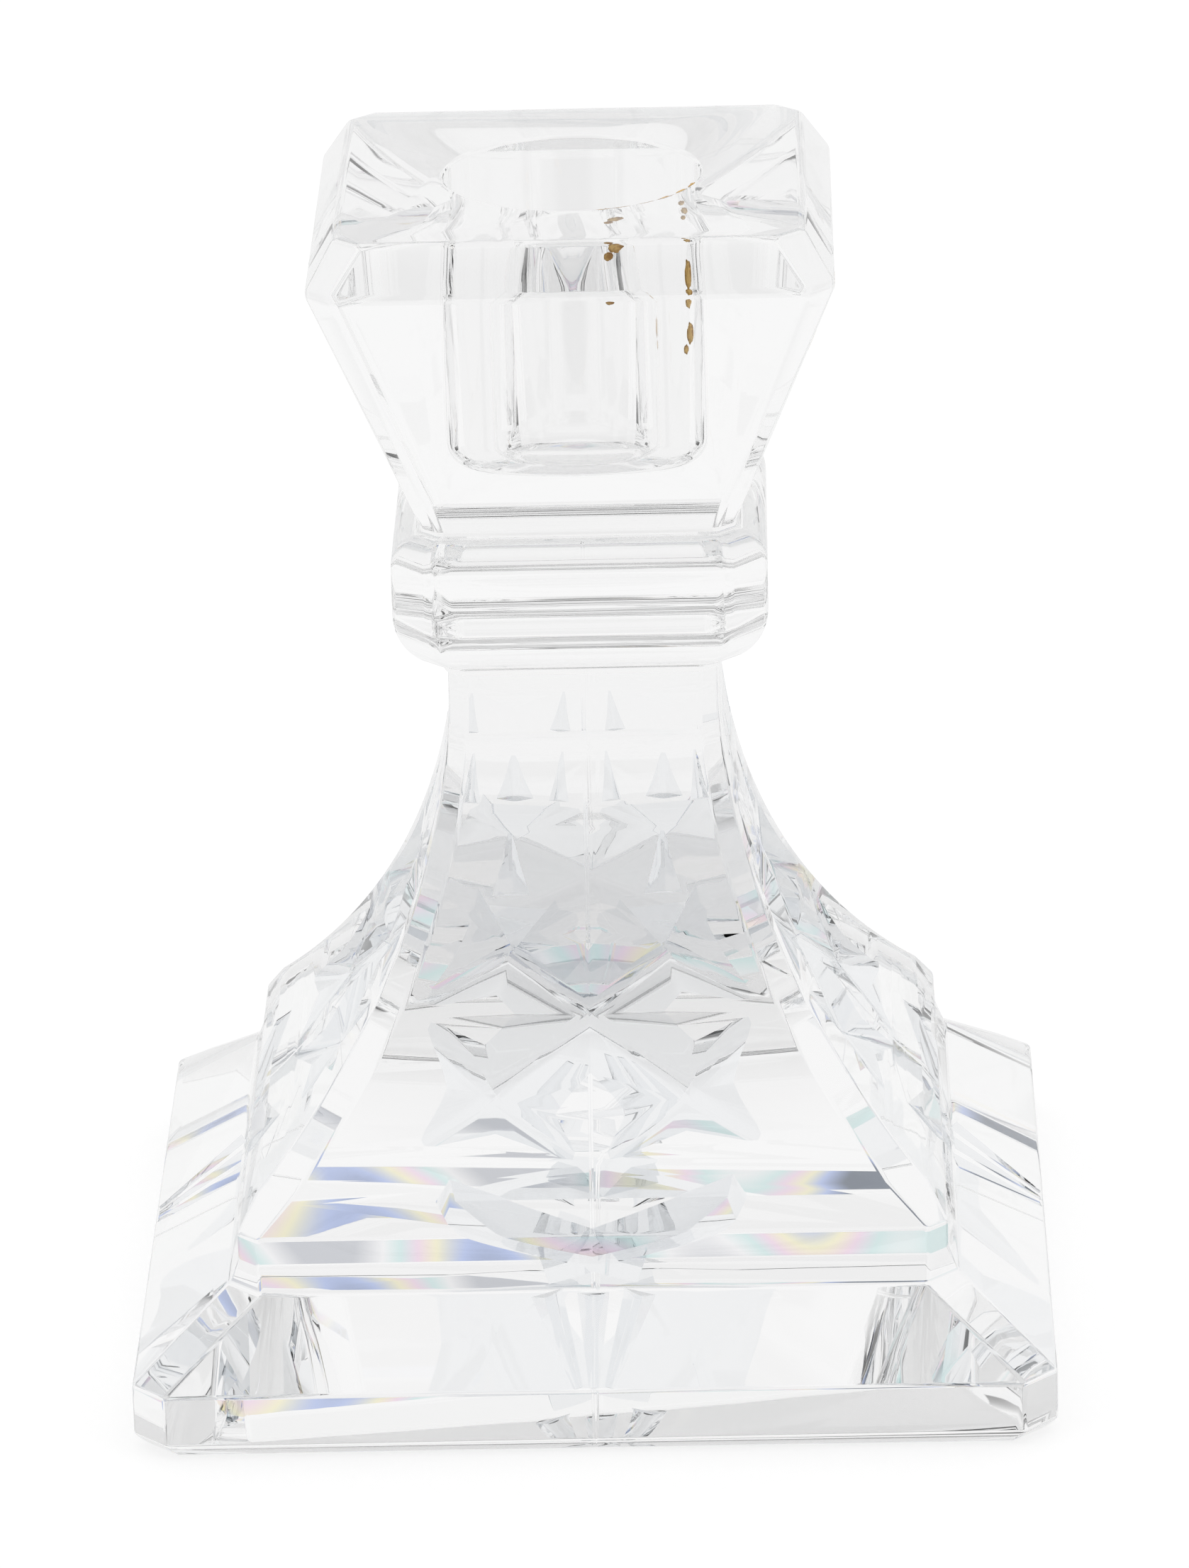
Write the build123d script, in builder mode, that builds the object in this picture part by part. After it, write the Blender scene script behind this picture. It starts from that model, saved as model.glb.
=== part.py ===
# Square cut-crystal candlestick, modelled as the two glass pieces that it is made of:
#   foot        plinth, tier and flared pedestal, pressed in one piece
#   candle_cup  collar and flared cup with the round candle socket, fused to the foot's neck
# Frame: origin at the centre of the underside, +Z up, faces square to X and Y. Millimetres.

import os
from math import asin, degrees, sqrt

from build123d import *

os.makedirs("parts", exist_ok=True)

# ------------------------------------------------------------------ driving dimensions
# A width is across the flats of a square section. A corner cut is the leg of its 45 degree cut.

# A run is how far one edge of a section stands in from the other, on each side.

# plinth, from the table up
base_bevel_height = 1.3
base_bevel_run = 1.1
base_corner_cut = 3.0
plinth_width = 83.0
plinth_corner_cut = 3.0
plinth_band_height = 4.8
slope_height = 6.2
slope_top_corner_cut = 3.0

# tier above the plinth
tier_foot_height = 2.4
tier_foot_run = 1.0
tier_width = 64.0
tier_corner_cut = 1.8
tier_band_height = 2.5
tier_bevel_height = 2.8
tier_bevel_run = 1.7

# flared pedestal with four concave faces
pedestal_foot_corner_cut = 2.8
pedestal_height = 42.4
neck_width = 24.3
neck_corner_cut = 1.6
neck_height = 1.3

# collar, from the joint up; its ring covers the neck with a little to spare
ring_overhang = 0.3
ring_corner_cut = 1.7
ring_height = 0.9
collar_overhang = 2.9
collar_corner_cut = 3.4
collar_under_height = 5.4
collar_band_height = 4.4
collar_top_height = 3.1

# cup, from the crease above the collar
crease_width = 28.0
crease_corner_cut = 1.7
cup_flare_height = 25.2
lip_width = 46.9
lip_corner_cut = 2.4
lip_bevel_height = 4.4
lip_bevel_run = 2.75
top_corner_cut = 2.2

# candle socket
candle_diameter = 22.0
socket_clearance = 1.0
socket_depth = 24.0
socket_floor_radius = 3.0

# Wide V cuts of the lattice on each concave face. They run out at their ends, and between them
# they leave the low pyramids. Their crossings are given as (across, rise above the pedestal's
# foot) on the right-hand side.
lattice_half_width = 4.4
lattice_depth = 1.2
lattice_bottom = (0.0, 1.9)
lattice_lower_node = (8.5, 7.7)
lattice_centre = (0.0, 13.6)
lattice_side = (15.9, 14.2)
lattice_upper_node = (6.8, 19.0)
lattice_top = (0.0, 22.0)
lattice_lower_end = (16.4, 3.5)
lattice_upper_end = (11.2, 22.8)

# tapering flutes above the lattice and ticks below the neck, deepest at the lower end
flute_half_width = 1.7
flute_depth = 0.8
flute_across = 6.9
flute_rise = 23.6
flute_length = 10.6
tick_half_width = 0.9
tick_depth = 0.5
tick_drop = 3.2
tick_length = 7.4
tick_lean = 0.7
inner_tick_across = 2.4
outer_tick_across = 10.4

# leaf cuts below the lattice, each from its inner to its outer point
sprig_half_width = 1.3
sprig_depth = 0.5
inner_sprig = ((1.8, 2.6), (7.7, 6.0))
outer_sprig = ((9.9, 5.3), (16.4, 1.6))

# leaf and fan cuts on each sloping face of the plinth
leaf_half_width = 2.7
leaf_depth = 0.9
leaf_outer_across = 31.0
leaf_outer_rise = 1.1
leaf_inner_across = 3.6
leaf_inner_rise = 5.7
fan_half_width = 1.3
fan_depth = 0.5
fan_foot_across = 1.2
fan_top_across = 3.9
fan_gap = 0.3

# a V cutter stands this many times its depth tall, so that it reaches out past the surface
cutter_reach = 2

# ------------------------------------------------------------------ widths that follow others
base_width = plinth_width - 2 * base_bevel_run
slope_top_width = tier_width + 2 * tier_foot_run
pedestal_foot_width = tier_width - 2 * tier_bevel_run
ring_width = neck_width + 2 * ring_overhang
collar_width = crease_width + 2 * collar_overhang
top_width = lip_width - 2 * lip_bevel_run

# ------------------------------------------------------------------ levels
z_base = 0.0
z_band_foot = z_base + base_bevel_height
z_band_top = z_band_foot + plinth_band_height
z_slope_top = z_band_top + slope_height
z_tier_foot = z_slope_top + tier_foot_height
z_tier_top = z_tier_foot + tier_band_height
z_pedestal_foot = z_tier_top + tier_bevel_height
z_throat = z_pedestal_foot + pedestal_height
z_joint = z_throat + neck_height
z_ring_top = z_joint + ring_height
z_collar_foot = z_ring_top + collar_under_height
z_collar_top = z_collar_foot + collar_band_height
z_crease = z_collar_top + collar_top_height
z_lip = z_crease + cup_flare_height
z_top = z_lip + lip_bevel_height

socket_radius = (candle_diameter + socket_clearance) / 2

# Each concave face is part of a cylinder that stands upright where it meets the neck.
face_run = (pedestal_foot_width - neck_width) / 2
face_radius = (face_run**2 + pedestal_height**2) / (2 * face_run)
face_axis = Vector(0, -(neck_width / 2 + face_radius), z_throat)

slope_run = (plinth_width - slope_top_width) / 2
slope_normal = Vector(0, -slope_height, slope_run).normalized()


# ------------------------------------------------------------------ outlines
def across_flats(width, corner_cut):
    """Half width of a section, measured to the middle of a side."""
    return width / 2


def across_corners(width, corner_cut):
    """Half width of the same section, measured to the middle of a corner cut."""
    return (width - corner_cut) / sqrt(2)


# Both pieces are the overlap of four upright slabs, two square to the sides and
# two square to the corner cuts, so that every side is a flat or a plain curve.
slabs = ((0, across_flats), (90, across_flats), (45, across_corners), (135, across_corners))


def upright_plane(turn):
    """Upright plane through the axis, turned about it."""
    return Plane.XZ.rotated((0, 0, turn))


def face_half_width(z):
    """Half width of the pedestal across its concave faces."""
    return neck_width / 2 + face_radius - sqrt(face_radius**2 - (z_throat - z) ** 2)


def foot_outline(half):
    """Half outline of the foot, from the axis at the table round to the axis at the joint."""
    z_middle = (z_pedestal_foot + z_throat) / 2
    middle_cut = (pedestal_foot_corner_cut + neck_corner_cut) / 2
    pedestal_foot = (half(pedestal_foot_width, pedestal_foot_corner_cut), z_pedestal_foot)
    pedestal_middle = (half(2 * face_half_width(z_middle), middle_cut), z_middle)
    throat = (half(neck_width, neck_corner_cut), z_throat)
    Polyline(
        (0, z_base),
        (half(base_width, base_corner_cut), z_base),
        (half(plinth_width, plinth_corner_cut), z_band_foot),
        (half(plinth_width, plinth_corner_cut), z_band_top),
        (half(slope_top_width, slope_top_corner_cut), z_slope_top),
        (half(tier_width, tier_corner_cut), z_tier_foot),
        (half(tier_width, tier_corner_cut), z_tier_top),
        pedestal_foot,
    )
    ThreePointArc(pedestal_foot, pedestal_middle, throat)
    Polyline(throat, (half(neck_width, neck_corner_cut), z_joint), (0, z_joint), (0, z_base))


def bulge(start, end, centre):
    """Convex quarter curve between two points, about the corner opposite to it."""
    quarter = 1 / sqrt(2)
    middle = (
        centre[0] + (start[0] + end[0] - 2 * centre[0]) * quarter,
        centre[1] + (start[1] + end[1] - 2 * centre[1]) * quarter,
    )
    ThreePointArc(start, middle, end)


def cup_outline(half):
    """Half outline of the candle cup, from the axis at the joint round to the axis at the top."""
    ring = half(ring_width, ring_corner_cut)
    collar = half(collar_width, collar_corner_cut)
    crease = half(crease_width, crease_corner_cut)
    Polyline((0, z_joint), (ring, z_joint), (ring, z_ring_top))
    bulge((ring, z_ring_top), (collar, z_collar_foot), (ring, z_collar_foot))
    Line((collar, z_collar_foot), (collar, z_collar_top))
    bulge((collar, z_collar_top), (crease, z_crease), (crease, z_collar_top))
    Polyline(
        (crease, z_crease),
        (half(lip_width, lip_corner_cut), z_lip),
        (half(top_width, top_corner_cut), z_top),
        (0, z_top),
        (0, z_joint),
    )


# ------------------------------------------------------------------ cutters, for the front side
def on_face(place):
    """Point on the front concave face, from its place across and its rise above the foot."""
    across, rise = place
    z = z_pedestal_foot + rise
    return Vector(across, -face_half_width(z), z)


def on_slope(place):
    """Point on the plinth's front slope, from its place across and its rise above the band."""
    across, rise = place
    return Vector(across, slope_run * rise / slope_height - plinth_width / 2, z_band_top + rise)


def face_normal(start, end):
    """Outward normal of the front concave face, midway between two points on it."""
    middle = (start + end) / 2
    return (Vector(middle.X, face_axis.Y, face_axis.Z) - middle).normalized()


def straight_cut(start, end, normal, half_width, start_depth, end_depth):
    """V groove between two points on a surface, at its full width where it is deepest."""
    low = start - normal * start_depth
    high = end - normal * end_depth
    along = (high - low).normalized()
    spread = cutter_reach * half_width
    reach = cutter_reach * max(start_depth, end_depth)
    with BuildSketch(Plane(origin=low, x_dir=normal.cross(along), z_dir=along)) as section:
        Polygon((0, 0), (spread, reach), (-spread, reach), align=None)
    extrude(section.sketch, amount=(high - low).length)


def leaf_cut(start, end, normal, half_width, depth):
    """Leaf left by a V-edged wheel: pointed at both ends, widest and deepest halfway."""
    half_length = (end - start).length / 2
    wheel_radius = (half_length**2 + depth**2) / (2 * depth)
    half_sweep = degrees(asin(half_length / wheel_radius))
    axle = (end - start).normalized().cross(normal)
    hub = (start + end) / 2 + normal * (wheel_radius - depth)
    spoke = normal.rotate(Axis((0, 0, 0), axle), -half_sweep)
    spread = cutter_reach * half_width
    shoulder = cutter_reach * depth - wheel_radius
    with BuildSketch(Plane(origin=hub, x_dir=spoke, z_dir=spoke.cross(axle))) as rim:
        Polygon((-wheel_radius, 0), (shoulder, spread), (shoulder, -spread), align=None)
    revolve(rim.sketch, axis=Axis(hub, axle), revolution_arc=2 * half_sweep)


def mirrored(place):
    """The same place on the other side of the middle."""
    return (-place[0], place[1])


def lattice_cut(*places):
    """Run of a lattice cut through the given places, at full depth but for its two ends."""
    depths = [0] + [lattice_depth] * (len(places) - 2) + [0]
    points = [on_face(place) for place in places]
    for low, high, low_depth, high_depth in zip(points, points[1:], depths, depths[1:]):
        normal = face_normal(low, high)
        straight_cut(low, high, normal, lattice_half_width, low_depth, high_depth)


def face_taper(low_place, high_place, half_width, depth):
    """Groove on the front face that runs out at its upper end."""
    low, high = on_face(low_place), on_face(high_place)
    straight_cut(low, high, face_normal(low, high), half_width, depth, 0)


with BuildPart() as lattice_cuts:
    for side in (lambda place: place, mirrored):
        lattice_cut(
            side(mirrored(lattice_upper_end)),
            side(mirrored(lattice_upper_node)),
            lattice_centre,
            side(lattice_lower_node),
            side(lattice_lower_end),
        )
        lattice_cut(side(lattice_side), side(lattice_lower_node), lattice_bottom)
        lattice_cut(side(lattice_side), side(lattice_upper_node), lattice_top)

tick_rise = pedestal_height - tick_drop - tick_length
with BuildPart() as upper_cuts:
    for hand in (-1, 1):
        flute_foot = (hand * flute_across, flute_rise)
        flute_tip = (hand * flute_across, flute_rise + flute_length)
        face_taper(flute_foot, flute_tip, flute_half_width, flute_depth)
        for tick_across in (inner_tick_across, outer_tick_across):
            tick_foot = (hand * tick_across, tick_rise)
            tick_tip = (hand * (tick_across - tick_lean), tick_rise + tick_length)
            face_taper(tick_foot, tick_tip, tick_half_width, tick_depth)

with BuildPart() as sprig_cuts:
    for side in (lambda place: place, mirrored):
        for inner, outer in (inner_sprig, outer_sprig):
            sprig_start, sprig_end = on_face(side(inner)), on_face(side(outer))
            sprig_normal = face_normal(sprig_start, sprig_end)
            leaf_cut(sprig_start, sprig_end, sprig_normal, sprig_half_width, sprig_depth)

with BuildPart() as slope_cuts:
    for hand in (-1, 1):
        leaf_start = on_slope((hand * leaf_inner_across, leaf_inner_rise))
        leaf_end = on_slope((hand * leaf_outer_across, leaf_outer_rise))
        leaf_cut(leaf_start, leaf_end, slope_normal, leaf_half_width, leaf_depth)
    for spread in (-1, 0, 1):
        fan_foot = on_slope((spread * fan_foot_across, fan_gap))
        fan_top = on_slope((spread * fan_top_across, slope_height - fan_gap))
        straight_cut(fan_foot, fan_top, slope_normal, fan_half_width, 0, fan_depth)

# ------------------------------------------------------------------ foot
with BuildPart() as foot:
    for turn, half in slabs:
        with BuildSketch(upright_plane(turn)):
            with BuildLine():
                foot_outline(half)
            make_face()
            mirror(about=Plane.YZ)
        extrude(amount=plinth_width, both=True, mode=Mode.INTERSECT if foot.part else Mode.ADD)
    for cuts in (lattice_cuts, upper_cuts, sprig_cuts, slope_cuts):
        with PolarLocations(0, 4):
            add(cuts.part, mode=Mode.SUBTRACT)

foot.part.label = "foot"
export_step(foot.part, "parts/foot.step")

# ------------------------------------------------------------------ candle cup
with BuildPart() as candle_cup:
    for turn, half in slabs:
        with BuildSketch(upright_plane(turn)):
            with BuildLine():
                cup_outline(half)
            make_face()
            mirror(about=Plane.YZ)
        extrude(amount=lip_width, both=True, mode=Mode.INTERSECT if candle_cup.part else Mode.ADD)
    with Locations((0, 0, z_top)):
        Hole(radius=socket_radius, depth=socket_depth)
    socket_floor = candle_cup.edges().filter_by(GeomType.CIRCLE).group_by(Axis.Z)[0]
    fillet(socket_floor, radius=socket_floor_radius)

candle_cup.part.label = "candle_cup"
export_step(candle_cup.part, "parts/candle_cup.step")

print(f"height {z_top - z_base:.1f}, foot {foot.part.volume:.0f} mm3, cup {candle_cup.part.volume:.0f} mm3")
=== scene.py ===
import logging
import math
from dataclasses import dataclass
from enum import Enum
from typing import Callable

import bmesh
import bpy
from mathutils import Matrix, Vector


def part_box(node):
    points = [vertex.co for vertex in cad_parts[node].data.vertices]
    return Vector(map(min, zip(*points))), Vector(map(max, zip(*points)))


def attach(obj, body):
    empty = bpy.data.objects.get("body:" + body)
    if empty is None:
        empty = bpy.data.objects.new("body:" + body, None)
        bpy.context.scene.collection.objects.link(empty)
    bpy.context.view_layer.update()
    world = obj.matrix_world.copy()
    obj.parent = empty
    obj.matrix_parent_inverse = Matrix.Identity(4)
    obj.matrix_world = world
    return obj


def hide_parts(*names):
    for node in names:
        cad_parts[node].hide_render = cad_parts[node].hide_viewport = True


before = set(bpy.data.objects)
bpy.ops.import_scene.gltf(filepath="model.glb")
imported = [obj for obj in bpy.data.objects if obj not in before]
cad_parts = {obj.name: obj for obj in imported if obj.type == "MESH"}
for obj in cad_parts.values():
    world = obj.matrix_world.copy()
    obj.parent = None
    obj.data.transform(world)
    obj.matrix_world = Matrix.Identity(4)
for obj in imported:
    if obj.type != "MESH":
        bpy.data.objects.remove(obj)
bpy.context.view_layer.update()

# A square cut-crystal candlestick, modelled as its two glass pieces. The foot is the plinth, the
# tier and the flared pedestal; the candle cup is the collar and the flared cup with its socket.
# Sizes in the classes are millimetres. A width is across the flats of a square section, and a
# corner cut is the leg of its 45 degree cut. Faces stand square to X and Y, and Y is depth.

MM = 0.001
# Two places nearer than this count as one when a level or an edge is picked out.
NEAR = 0.01 * MM
BODY = "root"
UP = Vector((0, 0, 1))
log = logging.getLogger("candlestick")


class Side(Enum):
    """The four sides of the candlestick, by their turn about its axis in degrees."""

    FRONT = 0
    RIGHT = 90
    BACK = 180
    LEFT = 270


class Hand(Enum):
    """The two mirrored halves of a side."""

    LEFT = -1
    RIGHT = 1


# ---------------------------------------------------------------------------- modelling
def deselect_all() -> None:
    """Leave nothing selected, in object mode."""
    if bpy.context.mode != "OBJECT":
        bpy.ops.object.mode_set(mode="OBJECT")
    bpy.ops.object.select_all(action="DESELECT")


def pick(obj: bpy.types.Object) -> None:
    """Select one object alone and make it active.

    Args:
        obj: the object to work on.
    """
    deselect_all()
    obj.select_set(True)
    bpy.context.view_layer.objects.active = obj


def start_edit(obj: bpy.types.Object, element: str = "VERT") -> None:
    """Open an object in edit mode.

    Args:
        obj: the object to shape.
        element: what is selected, VERT, EDGE or FACE.
    """
    pick(obj)
    bpy.ops.object.mode_set(mode="EDIT")
    bpy.ops.mesh.select_mode(type=element)


def select_where(element: str, test: Callable[[object], bool]) -> int:
    """Select the elements that pass a test, and no others, in edit mode.

    Args:
        element: verts, edges or faces.
        test: says whether one element is wanted.

    Returns:
        How many elements are selected.
    """
    bpy.ops.mesh.select_all(action="DESELECT")
    mesh = bpy.context.edit_object.data
    shape = bmesh.from_edit_mesh(mesh)
    count = 0
    for item in getattr(shape, element):
        if test(item):
            item.select_set(True)
            count += 1
    if element == "verts":
        shape.select_flush(True)
    bmesh.update_edit_mesh(mesh)
    return count


def apply_place(obj: bpy.types.Object) -> None:
    """Move an object's place, turn and scale into its mesh.

    Args:
        obj: the object to settle at the origin.
    """
    pick(obj)
    bpy.ops.object.transform_apply(location=True, rotation=True, scale=True)


def apply_modifier(obj: bpy.types.Object, kind: str, **settings: object) -> None:
    """Add a modifier, set it and apply it.

    Args:
        obj: the object that it shapes.
        kind: the modifier's type.
        settings: its settings by name.
    """
    pick(obj)
    modifier = obj.modifiers.new(kind.lower(), kind)
    for name, value in settings.items():
        setattr(modifier, name, value)
    bpy.ops.object.modifier_apply(modifier=modifier.name)


def turned_copy(obj: bpy.types.Object, turn: float) -> bpy.types.Object:
    """Copy an object, mesh and all, turned about the candlestick's axis.

    Args:
        obj: the object to copy.
        turn: the turn in degrees.

    Returns:
        The copy, with its place in its mesh.
    """
    copy = obj.copy()
    copy.data = obj.data.copy()
    bpy.context.collection.objects.link(copy)
    copy.matrix_world = Matrix.Rotation(math.radians(turn), 4, "Z") @ obj.matrix_world
    apply_place(copy)
    return copy


@dataclass(frozen=True)
class Section:
    """One level of a square body with cut corners."""

    height: float
    width: float
    corner_cut: float

    @property
    def flat(self) -> float:
        """Half width to the middle of a side, in metres."""
        return self.width / 2 * MM

    @property
    def corner(self) -> float:
        """Half length of a side between its corner cuts, in metres."""
        return (self.width / 2 - self.corner_cut) * MM


def stack_sections(name: str, sections: list[Section]) -> bpy.types.Object:
    """Build a closed body by extruding a square with cut corners from level to level.

    Args:
        name: the body's name.
        sections: its levels, from the lowest up.

    Returns:
        The body, with flat caps and its normals outwards.
    """
    base = sections[0]
    deselect_all()
    bpy.ops.mesh.primitive_plane_add(size=2 * base.flat, location=(0, 0, base.height * MM))
    body = bpy.context.object
    body.name = name
    apply_place(body)
    start_edit(body)
    bpy.ops.mesh.select_all(action="SELECT")
    bpy.ops.mesh.bevel(offset=base.corner_cut * MM, affect="VERTICES")
    bpy.ops.mesh.select_all(action="SELECT")
    for low, high in zip(sections, sections[1:]):
        rise = (high.height - low.height) * MM
        bpy.ops.mesh.extrude_region_move(TRANSFORM_OT_translate={"value": (0, 0, rise)})
        ring = {v.index for v in bmesh.from_edit_mesh(body.data).verts if v.select}
        flat_scale, corner_scale = high.flat / low.flat, high.corner / low.corner
        for across_x in (True, False):
            select_where(
                "verts",
                lambda v: v.index in ring and (abs(v.co.x) > abs(v.co.y)) == across_x,
            )
            scale = (flat_scale, corner_scale) if across_x else (corner_scale, flat_scale)
            bpy.ops.transform.resize(value=(*scale, 1), center_override=(0, 0, high.height * MM))
        select_where("verts", lambda v: v.index in ring)
    bpy.ops.mesh.select_all(action="SELECT")
    bpy.ops.mesh.normals_make_consistent(inside=False)
    bpy.ops.object.mode_set(mode="OBJECT")
    return body


# Edges sharper than this many degrees are fire polished, in this many steps.
SHARP_EDGE = 18.0
POLISH_STEPS = 4


def soften_edges(body: bpy.types.Object, radius: float, joint: float, clamp: bool = True) -> None:
    """Round off the sharp edges of a body, as fire polishing does.

    Args:
        body: the body to soften.
        radius: how far each edge is rounded, in millimetres.
        joint: the height of the joint plane in millimetres, where edges stay sharp.
        clamp: whether the rounding stops where two edges' roundings meet.
    """
    start_edit(body, "EDGE")
    least = math.radians(SHARP_EDGE)
    level = joint * MM
    select_where(
        "edges",
        lambda e: e.calc_face_angle(0) > least
        and abs((e.verts[0].co.z + e.verts[1].co.z) / 2 - level) >= NEAR,
    )
    bpy.ops.mesh.bevel(
        offset=radius * MM,
        segments=POLISH_STEPS,
        profile=0.5,
        affect="EDGES",
        clamp_overlap=clamp,
    )
    bpy.ops.object.mode_set(mode="OBJECT")


@dataclass(frozen=True)
class Groove:
    """A straight V cut between two points of a surface, in metres, with its depth at each."""

    start: Vector
    end: Vector
    normal: Vector
    half_width: float
    start_depth: float
    end_depth: float


# Points nearer than this many millimetres are one, in a cutter and in a cut body.
WELD_GAP = 0.001
CLEAN_GAP = 0.0005
# A cutter stands this many times its depth tall, so that it reaches out past the surface.
REACH = 2.0
# The wheel's edge is worn round this many millimetres up its flanks, or this share of the cut's
# half width where that is less.
TIP_ROUNDING = 0.9
TIP_SHARE = 0.3
TIP_SEGMENTS = 3
# Height and base of a triangle with all its points one unit from its middle.
TRIANGLE_HEIGHT = 1.5
TRIANGLE_BASE = math.sqrt(3)


def v_profile(
    half_width: float, depth: float, skew: float = 0.0, reach: float = REACH
) -> bpy.types.Object:
    """Make the V section of a cutter, in the XY plane with its point at the origin.

    Args:
        half_width: half its width where it meets the surface, in metres.
        depth: its depth below the surface, in metres.
        skew: how far the section leans over along X, as a share of its half width.
        reach: its height, as a multiple of its depth.

    Returns:
        A filled V that points down Y, its point rounded and all of it selected.
    """
    deselect_all()
    bpy.ops.mesh.primitive_circle_add(vertices=3, radius=1, fill_type="NGON")
    profile = bpy.context.object
    start_edit(profile)
    bpy.ops.mesh.select_all(action="SELECT")
    bpy.ops.transform.rotate(value=math.pi, orient_axis="Z", center_override=(0, 0, 0))
    bpy.ops.transform.translate(value=(0, 1, 0))
    width = reach * half_width * 2 / TRIANGLE_BASE
    height = reach * depth / TRIANGLE_HEIGHT
    bpy.ops.transform.resize(value=(width, height, 1), center_override=(0, 0, 0))
    select_where("verts", lambda v: v.co.y > reach * depth / 2)
    bpy.ops.transform.translate(value=(skew * reach * half_width, 0, 0))
    select_where("verts", lambda v: v.co.y < reach * depth / 2)
    tip = min(TIP_ROUNDING * MM, half_width * TIP_SHARE)
    bpy.ops.mesh.bevel(offset=tip, segments=TIP_SEGMENTS, profile=0.5, affect="VERTICES")
    bpy.ops.mesh.select_all(action="SELECT")
    return profile


def groove_cutter(name: str, groove: Groove) -> bpy.types.Object:
    """Make the cutter of a straight V cut.

    Args:
        name: the cutter's name.
        groove: where the cut runs and how deep it is.

    Returns:
        The cutter, in place.
    """
    low = groove.start - groove.normal * groove.start_depth
    high = groove.end - groove.normal * groove.end_depth
    along = (high - low).normalized()
    cutter = v_profile(groove.half_width, max(groove.start_depth, groove.end_depth))
    bpy.ops.mesh.extrude_region_move(
        TRANSFORM_OT_translate={"value": (0, 0, (high - low).length)}
    )
    bpy.ops.mesh.select_all(action="SELECT")
    bpy.ops.mesh.normals_make_consistent(inside=False)
    return set_cutter(cutter, name, low, along, groove.normal)


@dataclass(frozen=True)
class Leaf:
    """A leaf left by a V-edged wheel between two points of a surface, in metres."""

    start: Vector
    end: Vector
    normal: Vector
    half_width: float
    depth: float
    skew: float = 0.0
    reach: float = REACH


def leaf_cutter(name: str, leaf: Leaf, steps: int = 24) -> bpy.types.Object:
    """Make the part of a V-edged wheel that leaves a leaf.

    Args:
        name: the cutter's name.
        leaf: where the leaf lies and how deep it is.
        steps: how many spans the wheel's arc has.

    Returns:
        The cutter, in place.
    """
    half_length = (leaf.end - leaf.start).length / 2
    wheel = (half_length**2 + leaf.depth**2) / (2 * leaf.depth)
    sweep = 2 * math.asin(half_length / wheel)
    along = (leaf.end - leaf.start).normalized()
    middle = (leaf.start + leaf.end) / 2 - leaf.normal * leaf.depth
    cutter = v_profile(leaf.half_width, leaf.depth, leaf.skew, leaf.reach)
    hub = (0, wheel, 0)
    bpy.ops.transform.rotate(
        value=-sweep / 2, orient_axis="X", center_override=hub, orient_type="GLOBAL"
    )
    swing = math.copysign(1, sum(v.co.z for v in bmesh.from_edit_mesh(cutter.data).verts))
    bpy.ops.mesh.spin(steps=steps, angle=sweep, center=hub, axis=(swing, 0, 0))
    bpy.ops.mesh.select_all(action="SELECT")
    bpy.ops.mesh.remove_doubles(threshold=WELD_GAP * MM)
    bpy.ops.mesh.normals_make_consistent(inside=False)
    return set_cutter(cutter, name, middle, along, leaf.normal)


def set_cutter(
    cutter: bpy.types.Object, name: str, place: Vector, along: Vector, normal: Vector
) -> bpy.types.Object:
    """Stand a cutter on a surface.

    Args:
        cutter: a cutter that runs along Z, with Y out of the surface.
        name: its name.
        place: where its point goes.
        along: the direction that it runs in.
        normal: the direction out of the surface.

    Returns:
        The cutter, with its place in its mesh.
    """
    across = normal.cross(along).normalized()
    out = along.cross(across)
    bpy.ops.object.mode_set(mode="OBJECT")
    cutter.name = name
    turn = Matrix((across, out, along)).transposed().to_4x4()
    cutter.matrix_world = Matrix.Translation(place) @ turn
    apply_place(cutter)
    return cutter


def cut_away(body: bpy.types.Object, cutters: list[bpy.types.Object]) -> None:
    """Cut a body with many cutters at once, and remove them.

    Args:
        body: the body to cut.
        cutters: what is taken away from it.
    """
    wheelwork = bpy.data.collections.new(f"{body.name}_cutters")
    bpy.context.scene.collection.children.link(wheelwork)
    for cutter in cutters:
        for holder in list(cutter.users_collection):
            holder.objects.unlink(cutter)
        wheelwork.objects.link(cutter)
    apply_modifier(
        body,
        "BOOLEAN",
        operation="DIFFERENCE",
        operand_type="COLLECTION",
        collection=wheelwork,
        solver="EXACT",
        material_mode="TRANSFER",
    )
    for cutter in cutters:
        bpy.data.objects.remove(cutter)
    bpy.data.collections.remove(wheelwork)


def clean_mesh(body: bpy.types.Object) -> None:
    """Merge what the cutting left doubled, and turn the normals outwards.

    Args:
        body: the body to clean.
    """
    start_edit(body)
    bpy.ops.mesh.select_all(action="SELECT")
    bpy.ops.mesh.remove_doubles(threshold=CLEAN_GAP * MM)
    bpy.ops.mesh.dissolve_degenerate(threshold=CLEAN_GAP * MM)
    bpy.ops.mesh.delete_loose()
    bpy.ops.mesh.select_all(action="SELECT")
    bpy.ops.mesh.normals_make_consistent(inside=False)
    bpy.ops.object.mode_set(mode="OBJECT")


def shade(body: bpy.types.Object, angle: float) -> None:
    """Shade a body smooth, but for its edges sharper than an angle.

    Args:
        body: the body to shade.
        angle: the angle in degrees.
    """
    pick(body)
    bpy.ops.object.shade_smooth_by_angle(angle=math.radians(angle))


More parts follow.
